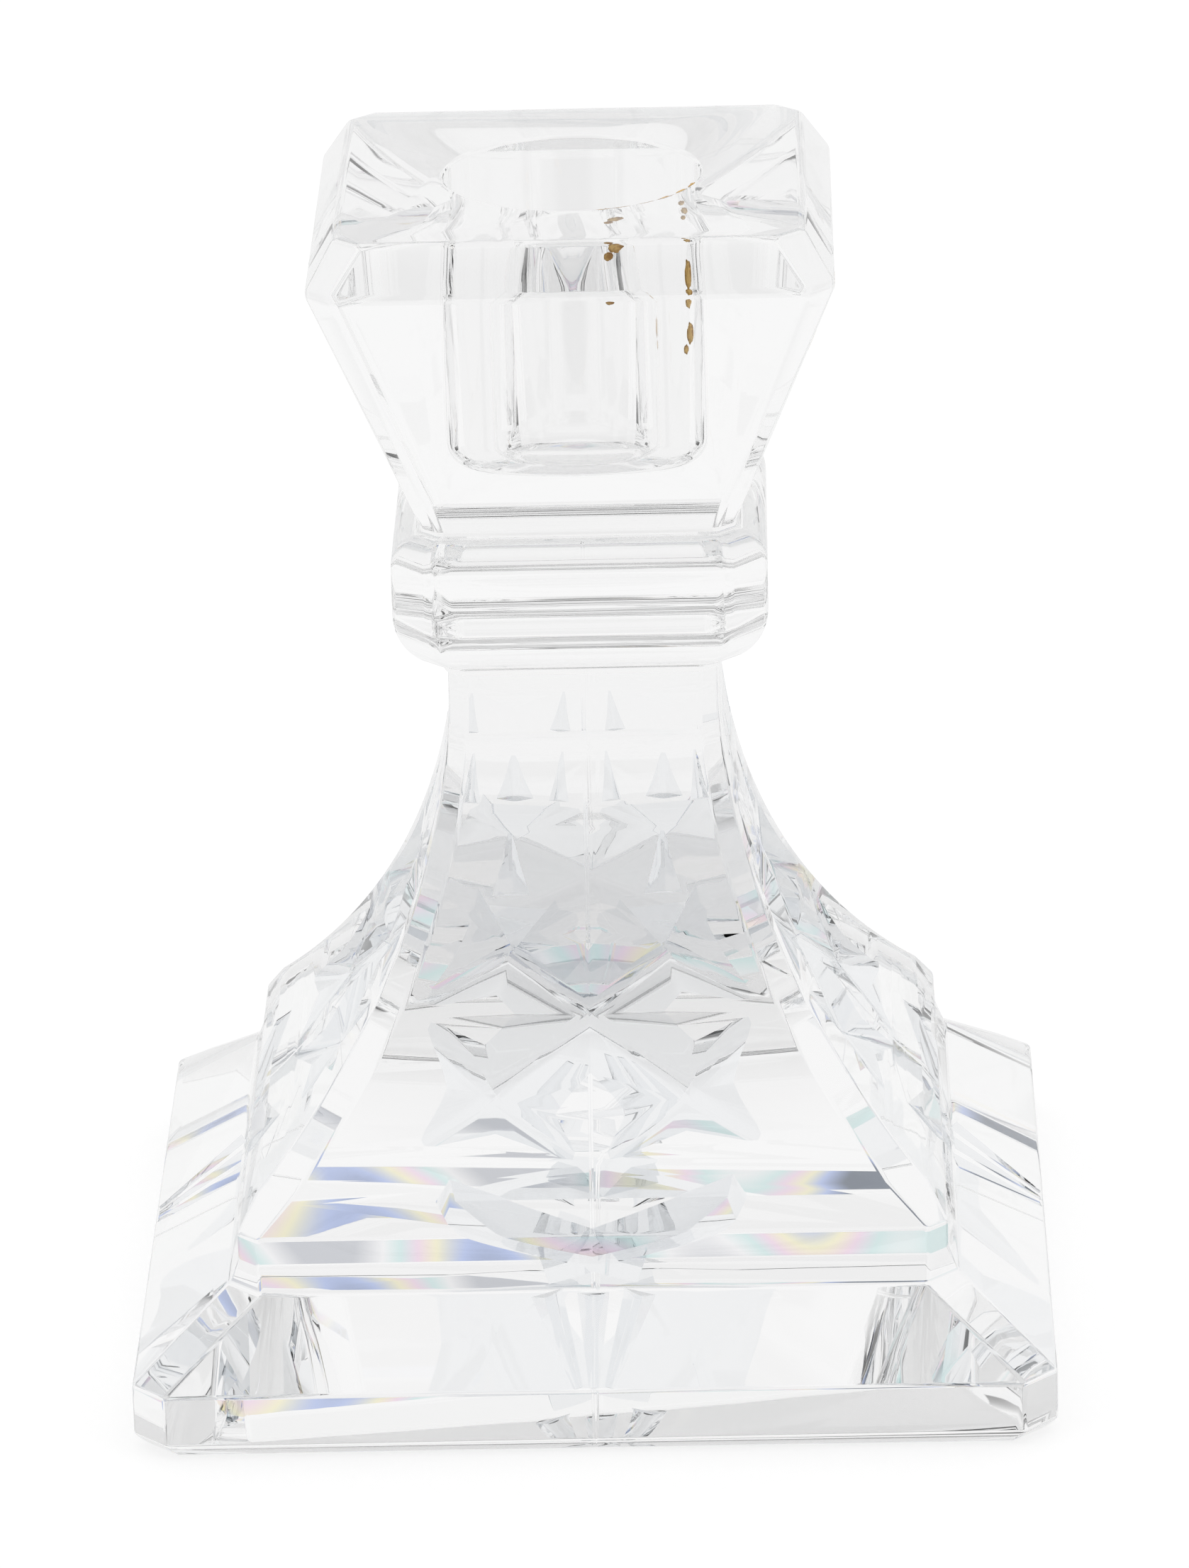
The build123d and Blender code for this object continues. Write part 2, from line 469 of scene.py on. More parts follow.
# ---------------------------------------------------------------------------- finishes
def linear_rgb(hex_code: str) -> tuple[float, float, float, float]:
    """Turn an sRGB hex colour to linear.

    Args:
        hex_code: the colour, as six hex digits after a hash.

    Returns:
        Linear red, green, blue and a full alpha.
    """
    channels = [int(hex_code[i : i + 2], 16) / 255 for i in (1, 3, 5)]
    linear = [c / 12.92 if c <= 0.04045 else ((c + 0.055) / 1.055) ** 2.4 for c in channels]
    return (*linear, 1.0)


def add_node(
    tree: bpy.types.NodeTree, kind: str, inputs: dict | None = None, **settings: object
) -> bpy.types.Node:
    """Add a node with its settings, values and links.

    Args:
        tree: the node tree.
        kind: the node's type.
        inputs: values or output sockets by the input's name or number.
        settings: the node's own settings by name.

    Returns:
        The node.
    """
    node = tree.nodes.new(kind)
    for name, value in settings.items():
        setattr(node, name, value)
    for name, value in (inputs or {}).items():
        if isinstance(value, bpy.types.NodeSocket):
            tree.links.new(value, node.inputs[name])
        else:
            node.inputs[name].default_value = value
    return node


def add_noise(
    tree: bpy.types.NodeTree, place: bpy.types.NodeSocket, width: float, detail: float
) -> bpy.types.NodeSocket:
    """Add a noise with blotches about as wide as is asked.

    Args:
        tree: the node tree.
        place: the object coordinates.
        width: the width in millimetres.
        detail: how many finer noises are laid over it.

    Returns:
        The noise, from 0 to 1.
    """
    values = {"Vector": place, "Scale": 1 / (width * MM), "Detail": detail}
    return add_node(tree, "ShaderNodeTexNoise", values).outputs["Fac"]


# Colours in order, each with the share of a noise where it is reached.
Shades = tuple[tuple[float, str], ...]


def blend(
    tree: bpy.types.NodeTree, noise: bpy.types.NodeSocket, shades: Shades
) -> bpy.types.NodeSocket:
    """Blend from colour to colour as a noise rises.

    Args:
        tree: the node tree.
        noise: what picks the colour, from 0 to 1.
        shades: the colours.

    Returns:
        The colour.
    """
    ramp = add_node(tree, "ShaderNodeValToRGB", {"Fac": noise})
    stops = ramp.color_ramp.elements
    while len(stops) < len(shades):
        stops.new(1.0)
    for stop, (share, code) in zip(stops, shades):
        stop.position, stop.color = share, linear_rgb(code)
    return ramp.outputs["Color"]


def new_material(name: str) -> tuple[bpy.types.Material, bpy.types.NodeTree, bpy.types.Node]:
    """Start a material with nothing but its output.

    Args:
        name: the material's name.

    Returns:
        The material, its tree and its output node.
    """
    material = bpy.data.materials.new(name)
    material.use_nodes = True
    tree = material.node_tree
    tree.nodes.clear()
    return material, tree, add_node(tree, "ShaderNodeOutputMaterial")


@dataclass(frozen=True)
class LeadCrystal:
    """Clear lead crystal. Heavy glass: it bends light strongly, and its faces shine."""

    name: str
    tint: str = "#FEFEFE"
    ior: float = 1.55
    roughness: float = 0.0
    ripple_width: float = 7.0
    ripple_height: float = 0.004
    polish_width: float = 0.9
    polish_height: float = 0.0001
    seam_width: float = 0.0
    seam_height: float = 0.05
    # Painted light in the glass's colour: grey painted shade and painted prismatic colours, in order,
    # over a noise this many millimetres long.
    fire: Shades = ()
    fire_length: float = 16.0

    def relief(self, tree: bpy.types.NodeTree, place: bpy.types.NodeSocket) -> bpy.types.NodeSocket:
        """Add the slow ripple of pressed glass, the finer one of its polish, and any mould seam.

        Args:
            tree: the material's tree.
            place: the object coordinates.

        Returns:
            The bent normal.
        """
        normal = None
        for width, rise, detail in (
            (self.ripple_width, self.ripple_height, 1.0),
            (self.polish_width, self.polish_height, 2.0),
        ):
            noise = add_noise(tree, place, width, detail)
            bump = {"Height": noise, "Distance": rise * MM, "Strength": 1.0}
            if normal is not None:
                bump["Normal"] = normal
            normal = add_node(tree, "ShaderNodeBump", bump).outputs["Normal"]
        return self.seam(tree, place, normal) if self.seam_width else normal

    def seam(
        self, tree: bpy.types.NodeTree, place: bpy.types.NodeSocket, normal: bpy.types.NodeSocket
    ) -> bpy.types.NodeSocket:
        """Add the mould seam, a hair line up the middle of each side.

        Args:
            tree: the material's tree.
            place: the object coordinates.
            normal: the normal that the seam bends further.

        Returns:
            The bent normal.
        """
        axes = add_node(tree, "ShaderNodeSeparateXYZ", {0: place})
        offsets = [
            add_node(tree, "ShaderNodeMath", {0: axes.outputs[axis]}, operation="ABSOLUTE")
            for axis in ("X", "Y")
        ]
        nearest = add_node(
            tree,
            "ShaderNodeMath",
            {0: offsets[0].outputs[0], 1: offsets[1].outputs[0]},
            operation="MINIMUM",
        )
        rise = {
            "Value": nearest.outputs[0],
            "From Min": 0.0,
            "From Max": self.seam_width / 2 * MM,
            "To Min": 1.0,
            "To Max": 0.0,
        }
        ridge = add_node(tree, "ShaderNodeMapRange", rise, interpolation_type="SMOOTHSTEP")
        bump = {
            "Height": ridge.outputs["Result"],
            "Distance": self.seam_height * MM,
            "Normal": normal,
        }
        return add_node(tree, "ShaderNodeBump", bump).outputs["Normal"]

    def colour(
        self, tree: bpy.types.NodeTree, place: bpy.types.NodeSocket
    ) -> bpy.types.NodeSocket | tuple[float, float, float, float]:
        """Give the glass its colour, with grey and prismatic streaks painted into it where it has
        fire.

        Args:
            tree: the material's tree.
            place: the object coordinates.

        Returns:
            A colour, or the socket that gives it.
        """
        if not self.fire:
            return linear_rgb(self.tint)
        return blend(tree, add_noise(tree, place, self.fire_length, 0.0), self.fire)

    def material(self) -> bpy.types.Material:
        """Build the glass.

        Returns:
            The material.
        """
        material, tree, output = new_material(self.name)
        place = add_node(tree, "ShaderNodeTexCoord").outputs["Object"]
        glass = add_node(
            tree,
            "ShaderNodeBsdfGlass",
            {
                "Color": self.colour(tree, place),
                "Roughness": self.roughness,
                "IOR": self.ior,
                "Normal": self.relief(tree, place),
            },
        )
        tree.links.new(glass.outputs["BSDF"], output.inputs["Surface"])
        return material


@dataclass(frozen=True)
class FusedJoint:
    """The plane where two pieces of the same glass are fused: nothing shows there."""

    name: str = "fused_glass_joint"

    def material(self) -> bpy.types.Material:
        """Build a surface that lets all light straight through.

        Returns:
            The material.
        """
        material, tree, output = new_material(self.name)
        clear = add_node(tree, "ShaderNodeBsdfTransparent")
        tree.links.new(clear.outputs["BSDF"], output.inputs["Surface"])
        return material


@dataclass(frozen=True)
class WaxResidue:
    """Old candle wax. Waxy and dull, amber where it is thin and brown where soot is in it."""

    name: str = "beeswax_residue"
    shades: Shades = ((0.4, "#B5823A"), (0.6, "#F0C676"))
    roughness: float = 0.55
    blotch_width: float = 0.6
    blotch_height: float = 0.05

    def material(self) -> bpy.types.Material:
        """Build the wax.

        Returns:
            The material.
        """
        material, tree, output = new_material(self.name)
        place = add_node(tree, "ShaderNodeTexCoord").outputs["Object"]
        blotch = add_noise(tree, place, self.blotch_width, 3.0)
        bump = {"Height": blotch, "Distance": self.blotch_height * MM}
        wax = add_node(
            tree,
            "ShaderNodeBsdfPrincipled",
            {
                "Base Color": blend(tree, blotch, self.shades),
                "Roughness": self.roughness,
                "Normal": add_node(tree, "ShaderNodeBump", bump).outputs["Normal"],
            },
        )
        tree.links.new(wax.outputs["BSDF"], output.inputs["Surface"])
        return material


# Fire-polished skin of the pressing: bright, with a slow ripple that makes what is behind it swim.
PRESSED_SKIN = LeadCrystal("lead_crystal_pressed")
# The same on the foot, with the hair line of the mould's seam up the middle of each side.
SEAMED_SKIN = LeadCrystal("lead_crystal_pressed_with_seam", seam_width=0.45)
# Wheel cut and acid polished, with a closer, shallower ripple. Its glass is tinted a shade greyer
# than the skin: painted shade, so that the cuts stand out from it.
WHEEL_CUT_PAINTED_SHADE = LeadCrystal("lead_crystal_wheel_cut_painted_shade", "#F6F7F8", ripple_width=5.0, ripple_height=0.003)
# Upright band of the tier: where light leaves it edge on, grey and rainbow streaks are painted into
# its colour, a painted shade and painted prismatic colours in place of real dispersion.
PAINTED_FIRE_BAND = LeadCrystal(
    "lead_crystal_band_painted_fire",
    ripple_width=4.0,
    fire=(
        (0.30, "#8C929C"),
        (0.38, "#C3CFF0"),
        (0.44, "#F8F4D8"),
        (0.49, "#F5E2EF"),
        (0.54, "#DDF0EF"),
        (0.60, "#F8F8F9"),
        (0.70, "#D3D5DA"),
    ),
)
# Glass fused to glass: nothing is seen, and light goes straight on from piece to piece.
FUSED = FusedJoint()
# Beeswax that ran down and set: small dull amber blotches that stop the light in clear glass.
WAX = WaxResidue()


# ---------------------------------------------------------------------------- the foot
Place = tuple[float, float]
# A face is upright when its normal rises less than this, and level when it rises more than that.
UPRIGHT = 0.1
LEVEL = 0.99


@dataclass
class CrystalFoot:
    """The plinth, the tier and the flared pedestal, pressed in one piece.

    The height is the whole foot's. Each other one is that of a level above the last, and each
    width is the level's own.
    """

    plinth_width: float
    height: float
    base_bevel: tuple[float, float] = (1.1, 1.3)
    plinth_cut: float = 3.0
    plinth_band_height: float = 4.8
    slope_height: float = 6.2
    slope_top_width: float = 66.0
    slope_top_cut: float = 3.0
    tier_foot_height: float = 2.4
    tier_width: float = 64.0
    tier_cut: float = 1.8
    tier_band_height: float = 2.5
    tier_bevel_height: float = 2.8
    pedestal_foot_width: float = 60.6
    pedestal_foot_cut: float = 2.8
    neck_width: float = 24.3
    neck_cut: float = 1.6
    neck_height: float = 1.3
    face_steps: int = 44
    edge_radius: float = 0.3
    smooth_angle: float = 14.0

    # Places on a face of the pedestal are millimetres across, and up from the pedestal's foot.
    lattice_half_width: float = 4.4
    lattice_depth: float = 1.2
    lattice_bottom: Place = (0.0, 1.9)
    lattice_lower_node: Place = (8.5, 7.7)
    lattice_centre: Place = (0.0, 13.6)
    lattice_side: Place = (15.9, 14.2)
    lattice_upper_node: Place = (6.8, 19.0)
    lattice_top: Place = (0.0, 22.0)
    lattice_lower_end: Place = (16.4, 3.5)
    lattice_upper_end: Place = (11.2, 22.8)

    flute_across: float = 6.9
    flute_rise: float = 23.6
    flute_length: float = 10.6
    flute_half_width: float = 1.7
    flute_depth: float = 0.8
    ticks_across: tuple[float, float] = (2.4, 10.4)
    tick_drop: float = 10.6
    tick_length: float = 7.4
    tick_lean: float = 0.7
    tick_half_width: float = 0.9
    tick_depth: float = 0.5
    sprigs: tuple[tuple[Place, Place], ...] = (((1.8, 2.6), (7.7, 6.0)), ((9.9, 5.3), (16.4, 1.6)))
    sprig_half_width: float = 1.3
    sprig_depth: float = 0.5

    # Places on the plinth's slope are millimetres across, and up from the plinth's band.
    leaf_inner: Place = (3.6, 5.7)
    leaf_outer: Place = (31.0, 1.1)
    leaf_half_width: float = 2.9
    leaf_depth: float = 0.9
    leaf_lean: float = 0.51
    leaf_reach: float = 1.1
    fan_foot_spread: float = 1.4
    fan_head_spread: float = 4.2
    fan_margin: float = 0.2
    fan_half_width: float = 1.45
    fan_foot_depth: float = 0.25
    fan_head_depth: float = 0.8

    def __post_init__(self) -> None:
        """Work out the levels that the cuts are placed from."""
        self.band_foot = self.base_bevel[1]
        self.band_top = self.band_foot + self.plinth_band_height
        self.slope_top = self.band_top + self.slope_height
        self.tier_foot = self.slope_top + self.tier_foot_height
        self.tier_top = self.tier_foot + self.tier_band_height
        self.pedestal_foot = self.tier_top + self.tier_bevel_height
        self.throat = self.height - self.neck_height
        run = (self.pedestal_foot_width - self.neck_width) / 2
        rise = self.throat - self.pedestal_foot
        self.face_radius = (run**2 + rise**2) / (2 * run)
        self.slope_run = (self.plinth_width - self.slope_top_width) / 2

    def face_half_width(self, z: float) -> float:
        """Half width of the pedestal across its concave faces, in millimetres."""
        drop = self.throat - z
        return self.neck_width / 2 + self.face_radius - math.sqrt(self.face_radius**2 - drop**2)

    def sections(self) -> list[Section]:
        """List the foot's levels from the table up.

        Returns:
            The sections, close together where the faces curve.
        """
        base_run, base_height = self.base_bevel
        levels = [
            Section(0, self.plinth_width - 2 * base_run, self.plinth_cut),
            Section(base_height, self.plinth_width, self.plinth_cut),
            Section(self.band_top, self.plinth_width, self.plinth_cut),
            Section(self.slope_top, self.slope_top_width, self.slope_top_cut),
            Section(self.tier_foot, self.tier_width, self.tier_cut),
            Section(self.tier_top, self.tier_width, self.tier_cut),
        ]
        sweep = math.asin((self.throat - self.pedestal_foot) / self.face_radius)
        for step in range(self.face_steps + 1):
            share = step / self.face_steps
            z = self.throat - self.face_radius * math.sin(sweep * (1 - share))
            cut = self.pedestal_foot_cut + (self.neck_cut - self.pedestal_foot_cut) * share
            levels.append(Section(z, 2 * self.face_half_width(z), cut))
        levels.append(Section(self.height, self.neck_width, self.neck_cut))
        return levels

    def on_face(self, place: Place) -> Vector:
        """Point on the front concave face, in metres.

        Args:
            place: millimetres across, and up from the pedestal's foot.

        Returns:
            The point.
        """
        across, rise = place
        z = self.pedestal_foot + rise
        return Vector((across, -self.face_half_width(z), z)) * MM

    def on_slope(self, place: Place) -> Vector:
        """Point on the plinth's front slope, in metres.

        Args:
            place: millimetres across, and up from the plinth's band.

        Returns:
            The point.
        """
        across, rise = place
        run = self.slope_run * rise / self.slope_height
        return Vector((across, run - self.plinth_width / 2, self.band_top + rise)) * MM

    def face_normal(self, start: Vector, end: Vector) -> Vector:
        """Outward normal of the front concave face, midway between two points on it."""
        middle = (start + end) / 2
        axis_y = -(self.neck_width / 2 + self.face_radius) * MM
        return Vector((0, axis_y - middle.y, self.throat * MM - middle.z)).normalized()

    @property
    def slope_normal(self) -> Vector:
        """Outward normal of the plinth's front slope."""
        return Vector((0, -self.slope_height, self.slope_run)).normalized()

    def on_side(self, place: Place, hand: Hand) -> Vector:
        """Point on the front concave face, on one hand of its middle line, in metres."""
        return self.on_face((hand.value * place[0], place[1]))

    def lattice_grooves(self) -> list[Groove]:
        """List the wide V cuts that leave the lattice of low pyramids on a face.

        Returns:
            The grooves of the front side.
        """
        grooves = []
        # The long cut goes from one hand over to the other, and the short ones keep to one hand.
        long_low = (self.lattice_lower_end, self.lattice_lower_node, self.lattice_centre)
        long_high = (self.lattice_upper_node, self.lattice_upper_end)
        short_low = (self.lattice_side, self.lattice_lower_node, self.lattice_bottom)
        short_high = (self.lattice_side, self.lattice_upper_node, self.lattice_top)
        for hand in Hand:
            other = Hand(-hand.value)
            cuts = ((long_low, long_high), (short_low, ()), (short_high, ()))
            for here, across in cuts:
                run = [self.on_side(place, hand) for place in here]
                run += [self.on_side(place, other) for place in across]
                # Each cut runs out to nothing at its two ends.
                depths = [0.0] + [self.lattice_depth * MM] * (len(run) - 2) + [0.0]
                for start, end, first, last in zip(run, run[1:], depths, depths[1:]):
                    normal = self.face_normal(start, end)
                    half_width = self.lattice_half_width * MM
                    grooves.append(Groove(start, end, normal, half_width, first, last))
        return grooves

    def upper_grooves(self) -> list[Groove]:
        """List the tapering flutes above the lattice and the ticks below the neck.

        Returns:
            The grooves of the front side.
        """
        flute_top = self.flute_rise + self.flute_length
        tick_rise = self.throat - self.pedestal_foot - self.tick_drop
        flute = ((self.flute_across, self.flute_rise), (self.flute_across, flute_top))
        marks = [(*flute, self.flute_half_width, self.flute_depth)]
        for across in self.ticks_across:
            tip = (across - self.tick_lean, tick_rise + self.tick_length)
            marks.append(((across, tick_rise), tip, self.tick_half_width, self.tick_depth))
        grooves = []
        for hand in Hand:
            for low, high, half_width, depth in marks:
                start, end = self.on_side(low, hand), self.on_side(high, hand)
                normal = self.face_normal(start, end)
                grooves.append(Groove(start, end, normal, half_width * MM, depth * MM, 0.0))
        return grooves

    def fan_grooves(self) -> list[Groove]:
        """List the three grooves of the fan in the middle of the plinth's slope.

        Returns:
            The grooves of the front side.
        """
        grooves = []
        head = self.slope_height - self.fan_margin
        depths = (self.fan_foot_depth * MM, self.fan_head_depth * MM)
        for spread in (-1, 0, 1):
            start = self.on_slope((spread * self.fan_foot_spread, self.fan_margin))
            end = self.on_slope((spread * self.fan_head_spread, head))
            half_width = self.fan_half_width * MM
            grooves.append(Groove(start, end, self.slope_normal, half_width, *depths))
        return grooves

    def leaves(self) -> list[Leaf]:
        """List the leaf cuts: two pairs of sprigs below the lattice, and one pair on the slope.

        Returns:
            The leaves of the front side.
        """
        found = []
        sprig_size = (self.sprig_half_width * MM, self.sprig_depth * MM)
        leaf_size = (self.leaf_half_width * MM, self.leaf_depth * MM)
        for hand in Hand:
            for inner, outer in self.sprigs:
                start, end = self.on_side(inner, hand), self.on_side(outer, hand)
                found.append(Leaf(start, end, self.face_normal(start, end), *sprig_size))
            start = self.on_slope((hand.value * self.leaf_inner[0], self.leaf_inner[1]))
            end = self.on_slope((hand.value * self.leaf_outer[0], self.leaf_outer[1]))
            lean = hand.value * self.leaf_lean
            found.append(Leaf(start, end, self.slope_normal, *leaf_size, lean, self.leaf_reach))
        return found

    def cutters(self) -> list[bpy.types.Object]:
        """Make every cutter of the front side, and copy it round the other three.

        Returns:
            The cutters.
        """
        grooves = self.lattice_grooves() + self.upper_grooves() + self.fan_grooves()
        front = [groove_cutter(f"groove_{i}", groove) for i, groove in enumerate(grooves)]
        front += [leaf_cutter(f"leaf_{i}", leaf) for i, leaf in enumerate(self.leaves())]
        # The cutters give every cut face the greyer glass, a painted shade on the cuts.
        wheel = WHEEL_CUT_PAINTED_SHADE.material()
        for cutter in front:
            cutter.data.materials.append(wheel)
        others = [side for side in Side if side is not Side.FRONT]
        return front + [turned_copy(cutter, side.value) for side in others for cutter in front]

    def build(self) -> bpy.types.Object:
        """Build the foot, cut it and dress it.

        Returns:
            The finished foot.
        """
        foot = stack_sections("cut_crystal_foot", self.sections())
        soften_edges(foot, self.edge_radius, self.height)
        foot.data.materials.append(SEAMED_SKIN.material())
        # The tier's upright band takes the glass with its grey and rainbow streaks painted in.
        foot.data.materials.append(PAINTED_FIRE_BAND.material())
        low, high = self.tier_foot * MM, self.tier_top * MM
        band = len(foot.data.materials) - 1
        for face in foot.data.polygons:
            if low < face.center.z < high and abs(face.normal.z) < UPRIGHT:
                face.material_index = band
        cut_away(foot, self.cutters())
        clean_mesh(foot)
        shade(foot, self.smooth_angle)
        return foot


# ---------------------------------------------------------------------------- the candle cup
@dataclass
class CandleCup:
    """The square collar and the flared cup with its round socket."""

    joint: float
    top: float
    lip_width: float
    neck_width: float
    neck_cut: float
    ring_overhang: float = 0.3
    ring_cut: float = 1.7
    ring_height: float = 0.9
    collar_width: float = 33.8
    collar_cut: float = 3.4
    collar_under_height: float = 5.4
    collar_band_height: float = 4.4
    collar_top_height: float = 3.1
    crease_width: float = 28.0
    crease_cut: float = 1.7
    lip_cut: float = 2.4
    lip_bevel_height: float = 4.4
    lip_bevel_run: float = 2.75
    top_cut: float = 2.2
    curve_steps: int = 12
    edge_radius: float = 0.6
    smooth_angle: float = 20.0
    socket_radius: float = 11.5
    socket_depth: float = 24.0
    socket_sides: int = 144
    socket_floor_radius: float = 3.0
    socket_floor_steps: int = 10
    plug_clearance: float = 2.0
    mouth_radius: float = 0.4
    mouth_steps: int = 4

    def quarter(self, start: Section, end: Section, bulging_out: bool) -> list[Section]:
        """Round the body from one section to another over a quarter curve.

        Args:
            start: the lower section.
            end: the upper section.
            bulging_out: whether the curve starts level and ends upright.

        Returns:
            The sections between the two, and the upper one.
        """
        found = []
        for step in range(1, self.curve_steps + 1):
            angle = step / self.curve_steps * math.pi / 2
            if bulging_out:
                across, up = math.sin(angle), 1 - math.cos(angle)
            else:
                across, up = 1 - math.cos(angle), math.sin(angle)
            found.append(
                Section(
                    start.height + (end.height - start.height) * up,
                    start.width + (end.width - start.width) * across,
                    start.corner_cut + (end.corner_cut - start.corner_cut) * across,
                )
            )
        return found

    def sections(self) -> list[Section]:
        """List the cup's levels from the joint up.

        Returns:
            The sections.
        """
        ring_width = self.neck_width + 2 * self.ring_overhang
        ring_top = self.joint + self.ring_height
        collar_foot = ring_top + self.collar_under_height
        collar_top = collar_foot + self.collar_band_height
        crease = collar_top + self.collar_top_height
        ring = Section(ring_top, ring_width, self.ring_cut)
        shoulder = Section(collar_top, self.collar_width, self.collar_cut)
        top_width = self.lip_width - 2 * self.lip_bevel_run
        return [
            Section(self.joint, self.neck_width, self.neck_cut),
            Section(self.joint, ring_width, self.ring_cut),
            ring,
            *self.quarter(ring, Section(collar_foot, self.collar_width, self.collar_cut), True),
            shoulder,
            *self.quarter(shoulder, Section(crease, self.crease_width, self.crease_cut), False),
            Section(self.top - self.lip_bevel_height, self.lip_width, self.lip_cut),
            Section(self.top, top_width, self.top_cut),
        ]

    def socket_cutter(self) -> bpy.types.Object:
        """Make the round plug that leaves the candle socket.

        Returns:
            The cutter.
        """
        depth = (self.socket_depth + self.plug_clearance) * MM
        deselect_all()
        bpy.ops.mesh.primitive_cylinder_add(
            vertices=self.socket_sides,
            radius=self.socket_radius * MM,
            depth=depth,
            location=(0, 0, (self.top + self.plug_clearance) * MM - depth / 2),
        )
        plug = bpy.context.object
        plug.name = "socket_plug"
        apply_place(plug)
        start_edit(plug, "EDGE")
        floor = (self.top - self.socket_depth) * MM
        select_where("edges", lambda e: all(abs(v.co.z - floor) < NEAR for v in e.verts))
        bpy.ops.mesh.bevel(
            offset=self.socket_floor_radius * MM, segments=self.socket_floor_steps, affect="EDGES"
        )
        bpy.ops.object.mode_set(mode="OBJECT")
        plug.data.materials.append(PRESSED_SKIN.material())
        return plug

    def build(self) -> bpy.types.Object:
        """Build the cup, bore it and dress it.

        Returns:
            The finished cup.
        """
        cup = stack_sections("cut_crystal_candle_cup", self.sections())
        soften_edges(cup, self.edge_radius, self.joint, clamp=False)
        cup.data.materials.append(PRESSED_SKIN.material())
        cut_away(cup, [self.socket_cutter()])
        start_edit(cup, "EDGE")
        top, rim = self.top * MM, self.socket_radius * MM
        select_where(
            "edges",
            lambda e: all(
                abs(v.co.z - top) < NEAR and abs(v.co.xy.length - rim) < NEAR for v in e.verts
            ),
        )
        bpy.ops.mesh.bevel(offset=self.mouth_radius * MM, segments=self.mouth_steps, affect="EDGES")
        bpy.ops.object.mode_set(mode="OBJECT")
        clean_mesh(cup)
        shade(cup, self.smooth_angle)
        return cup


@dataclass(frozen=True)
class Fleck:
    """A fleck of wax on the socket's wall: its turn from the front in degrees, and its drop."""

    turn: float
    drop: float
    width: float
    height: float
    thickness: float


@dataclass
class WaxTraces:
    """Flecks of old wax on the wall and rim of the candle socket."""

    socket_radius: float
    top: float
    roughness: float = 0.07
    seed: int = 3
    flecks: tuple[Fleck, ...] = (
        # A thin broken line just under the rim.
        Fleck(15.0, 0.35, 1.4, 0.5, 0.6),
        Fleck(23.0, 0.35, 1.8, 0.45, 0.5),
        Fleck(36.0, 0.35, 1.8, 0.4, 0.5),
        Fleck(47.0, 0.35, 2.2, 0.5, 0.6),
        Fleck(59.0, 0.35, 1.9, 0.5, 0.6),
        Fleck(70.0, 0.35, 1.7, 0.5, 0.5),
        # Two drips, one near the front and one round to the right.
        Fleck(20.5, 5.1, 1.4, 1.2, 0.34),
        Fleck(17.0, 5.9, 0.8, 0.7, 0.28),
        Fleck(61.0, 6.4, 0.8, 1.6, 0.3),
        Fleck(62.0, 9.8, 0.9, 2.2, 0.34),
        Fleck(58.5, 11.4, 0.6, 1.0, 0.26),
    )

    def build(self) -> bpy.types.Object:
        """Model one fleck, copy it to each place, and join them.

        Returns:
            The flecks as one piece.
        """
        deselect_all()
        bpy.ops.mesh.primitive_ico_sphere_add(subdivisions=3, radius=0.5)
        first = bpy.context.object
        start_edit(first)
        bpy.ops.mesh.select_all(action="SELECT")
        bpy.ops.transform.vertex_random(
            offset=self.roughness, uniform=0.6, normal=0.4, seed=self.seed
        )
        bpy.ops.object.mode_set(mode="OBJECT")
        copies = []
        for number, fleck in enumerate(self.flecks):
            copy = first.copy()
            copy.data = first.data.copy()
            bpy.context.collection.objects.link(copy)
            place = Vector((0, -self.socket_radius, self.top - fleck.drop)) * MM
            size = Matrix.Diagonal(
                (fleck.width * MM, fleck.thickness * MM, fleck.height * MM, 1)
            )
            flip = Matrix.Rotation(number * math.pi, 4, "Y")
            round_axis = Matrix.Rotation(math.radians(fleck.turn), 4, "Z")
            copy.matrix_world = round_axis @ Matrix.Translation(place) @ size @ flip
            apply_place(copy)
            copies.append(copy)
        bpy.data.objects.remove(first)
        deselect_all()
        for copy in copies:
            copy.select_set(True)
        bpy.context.view_layer.objects.active = copies[0]
        bpy.ops.object.join()
        wax = bpy.context.object
        wax.name = "wax_traces"
        wax.data.materials.append(WAX.material())
        pick(wax)
        bpy.ops.object.shade_smooth()
        return wax


def dress_joint(piece: bpy.types.Object, joint: float) -> None:
    """Give the fused face of a piece the look of a joint that doesn't show.

    Args:
        piece: the piece with a face on the joint plane.
        joint: the height of the plane in millimetres.
    """
    piece.data.materials.append(FUSED.material())
    clear = len(piece.data.materials) - 1
    level = joint * MM
    for face in piece.data.polygons:
        # The fused face is centred on the axis, and the ring's ledge round it isn't.
        central = face.center.xy.length < MM
        if central and abs(face.center.z - level) < NEAR and abs(face.normal.z) > LEVEL:
            face.material_index = clear


